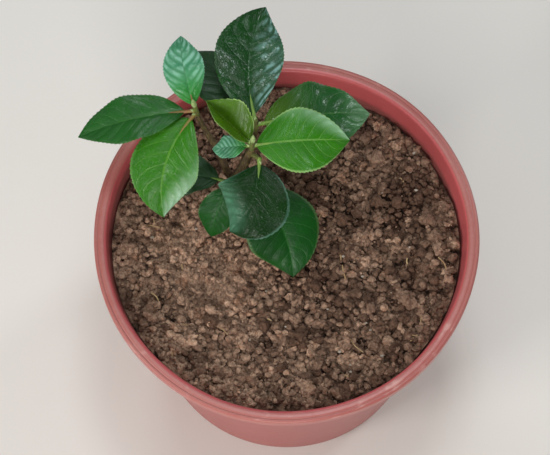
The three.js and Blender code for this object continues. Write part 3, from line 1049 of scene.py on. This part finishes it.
def spread_out(chance, spacing, edge):
    """Places over the soil about this far apart, unevenly, clear of the stem."""
    row_spacing = 0.866 * spacing
    jitter = 0.75 * spacing
    rows = int(2 * edge / row_spacing) + 2
    column, row = (a.ravel() for a in np.meshgrid(np.arange(rows + 4), np.arange(rows)))
    x = (column + 0.5 * (row % 2)) * spacing - edge - 2 * spacing
    y = row * row_spacing - edge
    x = x + jitter * (chance.random(len(x)) - 0.5)
    y = y + jitter * (chance.random(len(y)) - 0.5)
    free = (stem_distance(x, y) > STEM_ROOM) & (np.hypot(x, y) < edge)
    return x[free], y[free]


def crumb_part(chance, x, y, size, divisions, sink):
    """Uneven lumps of soil of these sizes, each turned its own way and sunk into the bed."""
    number = len(x)
    ball_points, ball_faces = ball(divisions)
    shape = np.repeat(ball_points[None], number, axis=0)
    shift = 40 * chance.random((number, 1, 3))
    rough = sum(share * lumps(shape + shift, grain_size, 3)
                for share, grain_size in CRUMB_LUMPS[:divisions])
    stretch = 1 + CRUMB_STRETCH * (2 * chance.random((number, 1, 3)) - 1)
    points = shape * stretch * (1 + rough)[..., None] * size[:, None, None]
    turned = unit(chance.normal(size=(number, 3)))
    other = unit(np.cross(turned, chance.normal(size=(number, 3))))
    frames = np.stack([turned, other, np.cross(turned, other)], axis=1)
    points = np.einsum("nvk,nkl->nvl", points, frames)
    # Painted light and shade: each crumb's top is kept light and its underside gets painted shade
    raised = 0.5 + 0.5 * points[..., 2] / size[:, None]
    pale = np.maximum(dryness(x, y) + 0.23 * chance.normal(size=number), 0.16)
    z = bed_height(x, y) + size * (sink + 0.4 * chance.random(number))
    points += np.stack([x, y, z], axis=-1)[:, None]
    firsts = (np.arange(number) * len(ball_points))[:, None, None]
    faces = (ball_faces[None] + firsts).reshape(-1, 3).tolist()
    places = np.stack([np.broadcast_to(pale[:, None], raised.shape), 0.2 + 0.8 * raised], axis=-1)
    return part_of(points.reshape(-1, 3), faces, 0, np.clip(places, 0, 1).reshape(-1, 2))


def build_crumbs(name, seed, spacing, divisions, smallest, largest, sink, bare):
    """Loose crumbs of soil of one range of sizes, fewer where the soil is fine."""
    chance = np.random.default_rng(seed)
    x, y = spread_out(chance, spacing, BED_RADIUS - 0.6 - 0.5 * smallest)
    keep = chance.random(len(x)) < 1 - bare * (1 - coarseness(x, y))
    x, y = x[keep], y[keep]
    size = smallest + (largest - smallest) * chance.random(len(x)) ** 2
    inside = np.minimum(1, (bed_edge(x, y) + 0.2 - size) / np.maximum(np.hypot(x, y), 1e-6))
    part = crumb_part(chance, x * inside, y * inside, size, divisions, sink)
    make_piece(name, part, [LOAM], "soil")


def build_clods():
    """The large clods, half sunk into the bed."""
    x, y, size = (np.array(values, float) for values in zip(*LARGE_CLODS))
    part = crumb_part(np.random.default_rng(15), x, y, size, 5, -0.75)
    make_piece("large_clods", part, [LOAM], "soil")


def scatter(chance, count, edge):
    """Places evenly spread over the soil, clear of the stem."""
    reach = edge * np.sqrt(chance.random(count))
    places = around(reach, math.tau * chance.random(count), 0.0)[:, :2]
    return places[stem_distance(places[:, 0], places[:, 1]) > STEM_ROOM]


def resting(place, lift):
    """A point above the bed at one place."""
    return np.append(place, bed_height(place[:1], place[1:])[0] + lift)


def build_straw():
    """Bits of straw and pale grit lying on the soil."""
    chance = np.random.default_rng(61)
    parts = []
    for place in scatter(chance, BITS_OF_STRAW, BED_RADIUS - 4):
        length = 1.6 + 5.5 * chance.random() ** 2
        way = direction(360 * chance.random(), 14 * chance.random() - 4)
        bend = 0.12 * length * direction(360 * chance.random(), 20)
        middle = resting(place, 1.6)
        points = [middle - way * length / 2, middle + bend, middle + way * length / 2]
        path, _ = smooth_path(points, 8)
        radii = np.full((9, 6), 0.16 + 0.12 * chance.random())
        radii[:, ::3] *= 0.55
        parts.append(tube(path, radii))
    stone, stone_faces = ball(2)
    for place in scatter(chance, BITS_OF_GRIT, BED_RADIUS - 3):
        size = 0.3 + 0.35 * chance.random()
        shape = stone * size * (1 + 0.25 * (2 * chance.random((len(stone), 1)) - 1))
        shape = shape * (1.2, 0.9, 0.7) + resting(place, 1.1)
        parts.append(part_of(shape, stone_faces.tolist(), 1))
    make_piece("straw_and_grit", join(parts), [STRAW, GRIT], "soil")


# Stems

def limb_radius(limb, along, length):
    """A limb's radius at a share of its length."""
    flare = limb["flare"] * np.exp(-along * length / FLARE_HEIGHT)
    return limb["foot"] + (limb["tip"] - limb["foot"]) * along + flare


def limb_part(name, limb):
    """A limb with its bark's ridges and nodes, rooted in the soil or in the main stem."""
    path, length = smooth_path(limb["path"], limb["steps"])
    along = np.linspace(0, 1, limb["steps"] + 1)
    radius = limb_radius(limb, along, length)
    turn = turns(limb["sides"])
    if limb["flare"]:
        root = path[0] - ROOT_DEPTH * np.array([(0, 0, 1.2), (0, 0, 0.6)])
        swelling = np.array([1.05, 1.03])
    else:
        stem, _ = smooth_path(LIMBS["main_stem"]["path"], 60)
        near = stem[np.argmin(np.linalg.norm(stem - path[0], axis=1))] - (0, 0, ROOT_DEPTH)
        root = near + (path[0] - near) * np.array([0.0, 0.55])[:, None]
        swelling = np.array([1.25, 1.15])
    path = np.vstack([root, path])
    radius = np.concatenate([radius[0] * swelling, radius])
    run = np.concatenate([[-2, -1], along * length])
    bark = around(BARK_RADIUS, turn, 0.28 * run[:, None])
    ridges = RIDGE_HEIGHT * lumps(bark, 1.6, len(name))
    cracks = CRACK_HEIGHT * lumps(bark * (1, 1, 3), 0.8, 7)
    older = np.clip(1.3 - run / 60, 0.35, 1)[:, None]
    relief = (ridges + cracks) * older
    rings = NODE_SWELLING * bell(run[:, None] % NODE_SPACING - 4, 0.5)
    lobes = 0.4 * np.cos(4 * turn + 0.6)[None] * np.exp(-np.maximum(run, 0) / 2.6)[:, None]
    wide = radius[:, None] + relief + rings + (lobes if limb["flare"] else 0)
    wide[-1] *= 0.6
    return tube(path, np.maximum(wide, 0.3))


def build_stems():
    """The main stem and its two branches, grown together under one bark."""
    parts = [limb_part(name, limb) for name, limb in LIMBS.items()]
    make_piece("stem_bark", join(parts), [STEM_BARK], "bark", list(LIMBS), sharp=180)


# Leaves, by the solids' rule

def outline(along):
    """A leaf's half width along its blade, as a share of its full half width."""
    widest = math.sqrt(BASE_POWER / (BASE_POWER + 2 * TIP_POWER))
    full = widest**BASE_POWER * (1 - widest * widest) ** TIP_POWER
    return along**BASE_POWER * (1 - along * along) ** TIP_POWER / full


def blade_points(leaf, foot, along, across, lift, teeth=0.0):
    """Points of a blade: along from 0 at the base to 1 at the tip, across from -1 to 1, and
    lift in millimetres off its middle layer. teeth is how far the edge is cut in there."""
    first = direction(leaf["heading"], leaf["pitch"])
    last = direction(leaf["heading"] + leaf["turn"], leaf["pitch"] - leaf["droop"])
    along, across, lift = np.broadcast_arrays(along, across, lift)
    a = along[:, None]
    forward = unit(first + (last - first) * a)
    point = foot + leaf["length"] * (first * (a - 0.5 * a * a) + last * 0.5 * a * a)
    level = unit(np.stack([-forward[:, 1], forward[:, 0], 0 * along], axis=-1))
    roll = math.radians(leaf["roll"])
    side = level * math.cos(roll) + np.cross(forward, level) * math.sin(roll)
    face = np.cross(forward, side)
    width = outline(along)
    half = 0.5 * leaf["width"] * width
    reach = np.sign(across) * np.maximum(half * np.abs(across) - teeth, 0)
    fold = np.abs(reach) * math.tan(math.radians(leaf["fold"]))
    curl = -leaf["curl"] * half * across * across
    swell = leaf["wave"] * width * across * across
    wave = swell * np.sin(leaf["waves"] * along * math.tau + leaf["phase"] + across)
    return point + side * reach[:, None] + face * (fold + curl + wave + lift)[:, None]


def vein_phase(along, across):
    """How far a place is between one side vein and the next."""
    off = np.abs(across)
    swept = along - VEIN_SWEEP * off - VEIN_HOOK * off**4
    return swept * VEIN_PAIRS + 0.25 * np.sign(across)


def blade_part(leaf, foot, top, under):
    """A thin blade with a toothed edge, a grooved midrib and puckers between its veins. top
    and under are the numbers of its materials."""
    rows, columns = BLADE_STEPS + 1, BLADE_COLUMNS + 1
    steps = np.linspace(BLADE_END, 1 - BLADE_END, rows)
    spread = np.linspace(-1, 1, columns)
    spread = np.sign(spread) * np.abs(spread) ** 1.15
    along, across = (a.ravel() for a in np.meshgrid(steps, spread, indexing="ij"))
    width = outline(along)
    off = np.abs(across)
    reach = 0.5 * leaf["width"] * width * off
    saw = (along * (leaf["length"] / TOOTH_LENGTH)) % 1
    depth = TOOTH_DEPTH * ease(along, 0.12, 0.3) * ease(1 - along, 0.0, 0.2)
    teeth = depth * min(1, leaf["length"] / 26) * (1 - saw) * off**14
    phase = vein_phase(along, across)
    between = np.sin(math.pi * (phase - 0.5)) ** 2
    belly = (4 * off * (1 - off)) ** 0.7 * np.clip(1.4 * width, 0, 1)
    face = np.stack(np.broadcast_arrays(
        leaf["length"] * along, np.sign(across) * reach, leaf["phase"]), axis=-1)
    uneven = 1 + 0.9 * lumps(face, 6.0, 41)
    blisters = leaf["blister"] * (0.7 * lumps(face, 4.4, 42) + 0.3 * lumps(face, 2.1, 43))
    pucker = (leaf["pucker"] * (between - 0.35) * uneven + blisters) * belly
    shrink = 1 - 0.75 * along
    groove = -GROOVE_DEPTH * shrink * bell(reach, GROOVE_WIDTH)
    keel = -KEEL_DEPTH * shrink * bell(reach, KEEL_WIDTH)
    ridge = 1 - np.clip(np.abs(phase % 1 - 0.5) / VEIN_WIDTH, 0, 1)
    vein = VEIN_RELIEF * ridge * (off < 0.9)
    half_thick = 0.5 * BLADE_THICKNESS * (1 - 0.55 * off**6)
    upper_lift = half_thick + pucker + groove - 0.6 * vein
    upper = blade_points(leaf, foot, along, across, upper_lift, teeth)
    lower = blade_points(leaf, foot, along, across, pucker + keel - half_thick - vein, teeth)
    faces = grid_faces(rows, columns)
    number = rows * columns
    grid = np.arange(number).reshape(rows, columns)
    edges = []
    for line in (grid[0, ::-1], grid[-1], grid[:, 0], grid[::-1, -1]):
        a, b = line[:-1], line[1:]
        edges += np.stack([b, a, a + number, b + number], axis=-1).tolist()
    quads = faces.tolist() + (faces[:, ::-1] + number).tolist() + edges
    numbers = [top] * len(faces) + [under] * len(faces) + [top] * len(edges)
    places = np.stack([along, 0.5 + 0.5 * across], axis=-1)
    return np.vstack([upper, lower]), quads, numbers, np.vstack([places, places])


def stalk_part(leaf, node, foot, material):
    """A leaf's stalk: swollen at the twig, channelled above, running on under the midrib."""
    way = direction(leaf["heading"], leaf["pitch"])
    along_blade, below_blade = np.array([0.04, 0.16, 0.34]), np.array([-0.45, -0.6, -0.36])
    under = blade_points(leaf, foot, along_blade, 0, below_blade)
    middle = node + 0.5 * leaf["stalk"] * way - (0, 0, 0.15)
    path, length = smooth_path([node - 0.3 * way, middle, *under], 36)
    along = np.linspace(0, 1, len(path))[:, None]
    radius = STALK_RADIUS * min(1, 0.45 + leaf["width"] / 40) * (1 - 0.72 * ease(along, 0.25, 1))
    radius = radius * (1 + 0.35 * bell(along * length, 1.1))
    return tube(path, radius * (1 + 0.05 * np.cos(2 * turns(14))), material)


def bud_part(node, outward, length, radius):
    """A closed bud: a pointed spindle wrapped in overlapping scales."""
    along = np.linspace(0, 1, 22)[:, None]
    spindle = np.sin(math.pi * np.clip(0.16 + 0.84 * along, 0, 1) ** 0.8) + 0.04
    wrap = 1 + 0.13 * ((turns(14) / math.tau + 1.4 * along) % 1)
    return tube(node + outward * length * along, radius * spindle * wrap)


def named(names, rows):
    """Each row of values with its names."""
    return [dict(zip(names, row)) for row in rows]


def twig_foot(group, outward):
    """Where a group's twig begins, beside its limb or at its tip, and the limb's middle there."""
    limb = LIMBS[group["limb"]]
    steps = 200
    path, length = smooth_path(limb["path"], steps)
    index = round(group["at"] * steps)
    point = path[index]
    tangent = unit(path[min(index + 1, steps)] - path[max(index - 1, 0)])
    slant = outward @ tangent
    if group["at"] == 1:
        return point + tangent * (CLEAR + TWIG_RADIUS * math.sqrt(1 - slant * slant)), point
    across = unit(outward - tangent * slant)
    radius = limb_radius(limb, group["at"], length)
    return point + across * (radius + CLEAR + TWIG_RADIUS * abs(slant)), point


def twig_part(length, nodes, foot, inside, outward):
    """A twig, grown on from inside its limb, with a swelling at each leaf's node."""
    points = [inside, foot, foot + 0.5 * length * outward, foot + length * outward]
    path, run = smooth_path(points, 44)
    start = np.linalg.norm(foot - inside) / run
    along = np.clip((np.linspace(0, 1, len(path)) - start) / (1 - start), 0, 1)
    radius = TWIG_RADIUS * (1 - TWIG_TAPER * along)
    for node in nodes:
        radius = radius * (1 + 0.14 * bell(along - node, 0.09))
    radius[-3:] *= (0.9, 0.7, 0.4)
    rough = lumps(around(3, turns(16), along[:, None] * run * 0.5), 1.3, 12)
    return tube(path, radius[:, None] * (1 + 0.05 * rough))


def build_sprays():
    """Every group of leaves on its twig, each kind of thing in pieces of its own."""
    random = make_random(SEED)
    twigs, stalks, buds = [], [], []
    for group in named(GROUP_VALUES, GROUPS):
        leaves = named(LEAF_VALUES, group["leaves"])
        outward = direction(group["heading"], group["pitch"])
        foot, inside = twig_foot(group, outward)
        nodes = [leaf["at"] for leaf in leaves]
        twigs.append(twig_part(group["twig"], nodes, foot, inside, outward))
        looks = sorted({leaf["look"] for leaf in leaves})
        blades = []
        for leaf in leaves:
            leaf["curl"] = 0.1 + 0.12 * next(random)
            leaf["wave"] = 0.5 + 0.7 * next(random)
            leaf["waves"] = 1.5 + 1.5 * next(random)
            leaf["phase"] = math.tau * next(random)
            node = foot + outward * leaf["at"] * group["twig"]
            way = direction(leaf["heading"], leaf["pitch"])
            leaf_foot = node + way * leaf["stalk"]
            tip = blade_points(leaf, node, np.ones(1), 0, 0)[0]
            if np.linalg.norm(tip - foot) > group["reach"]:
                continue
            blades.append(blade_part(leaf, leaf_foot, looks.index(leaf["look"]), len(looks)))
            flushed = group["limb"] == "left_branch"
            stalks.append(stalk_part(leaf, node, leaf_foot, int(flushed)))
            axil = unit(0.8 * outward + way)
            buds.append(bud_part(node + 0.5 * way, axil, SIDE_BUD_LENGTH, SIDE_BUD_RADIUS))
        if group["bud"]:
            bud_foot = foot + 0.8 * group["twig"] * outward
            buds.append(bud_part(bud_foot, outward, group["bud"], TIP_BUD_RADIUS))
        name = group["name"].replace("_leaves", "_blades")
        materials = [LEAF_LOOKS[look] for look in looks] + [LEAF_UNDER]
        make_piece(name, join(blades), materials, "leaves", [group["name"]], sharp=70)
    make_piece("twigs", join(twigs), [TWIG_SKIN], "bark")
    make_piece("leaf_stalks", join(stalks), [STALK_GREEN, STALK_FLUSHED], "leaves")
    make_piece("buds", join(buds), [BUD_DOWN], "leaves")


# Stage

def make_camera():
    """The photograph's view, a little closer."""
    look = (VIEW_AIM - VIEW_PLACE).normalized()
    right = look.cross(Vector((0, 0, 1))).normalized()
    facing = Matrix((right, right.cross(look), -look)).transposed()
    turned = Matrix.Rotation(math.radians(VIEW_ROLL), 3, look) @ facing
    camera = add_object("camera", bpy.data.cameras.new("camera"))
    camera.matrix_world = Matrix.Translation(VIEW_PLACE) @ turned.to_4x4()
    camera.data.lens = VIEW_LENS
    camera.data.sensor_width = SENSOR
    bpy.context.scene.camera = camera


def make_light(name, heading, pitch, size, power, colour):
    """A square soft light that faces the plant."""
    data = bpy.data.lights.new(name, "AREA")
    data.shape, data.size, data.energy, data.color = "SQUARE", size, power, colour
    light = add_object(name, data)
    way = Vector(direction(heading, pitch))
    light.location = LIGHT_AIM + way * LIGHT_DISTANCE
    light.rotation_euler = way.to_track_quat("Z", "Y").to_euler()
    light.visible_camera = False


def make_stage():
    """A pale floor, a pale surround and soft lights."""
    material, place = new_material("stage_floor")
    colour = mottle(place, rgb(238, 233, 226), rgb(232, 227, 220), 3.0, 0.5)["Colour"]
    corners = np.array([(-1, -1, 0), (1, -1, 0), (1, 1, 0), (-1, 1, 0)])
    mesh = make_mesh("stage_floor", FLOOR_REACH * corners, [(0, 1, 2, 3)])
    mesh.materials.append(finish(material, colour, 0.8))
    floor = add_object("stage_floor", mesh)
    floor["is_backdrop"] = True
    world = bpy.data.worlds.new("surround")
    world.use_nodes = True
    sky = world.node_tree.nodes["Background"]
    fill(sky, {"Color": SURROUND_COLOUR, "Strength": SURROUND_STRENGTH})
    bpy.context.scene.world = world
    for name, light in LIGHTS.items():
        make_light(name, *light)


make_camera()
build_pot()
build_bed()
for name, crumbs in LOOSE_CRUMBS.items():
    build_crumbs(name, *crumbs)
build_clods()
build_straw()
build_stems()
build_sprays()
make_stage()

bpy.context.scene.view_settings.view_transform = "Standard"
boxes = [[list(corner) for corner in box] for box in (CAD_BOX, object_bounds())]
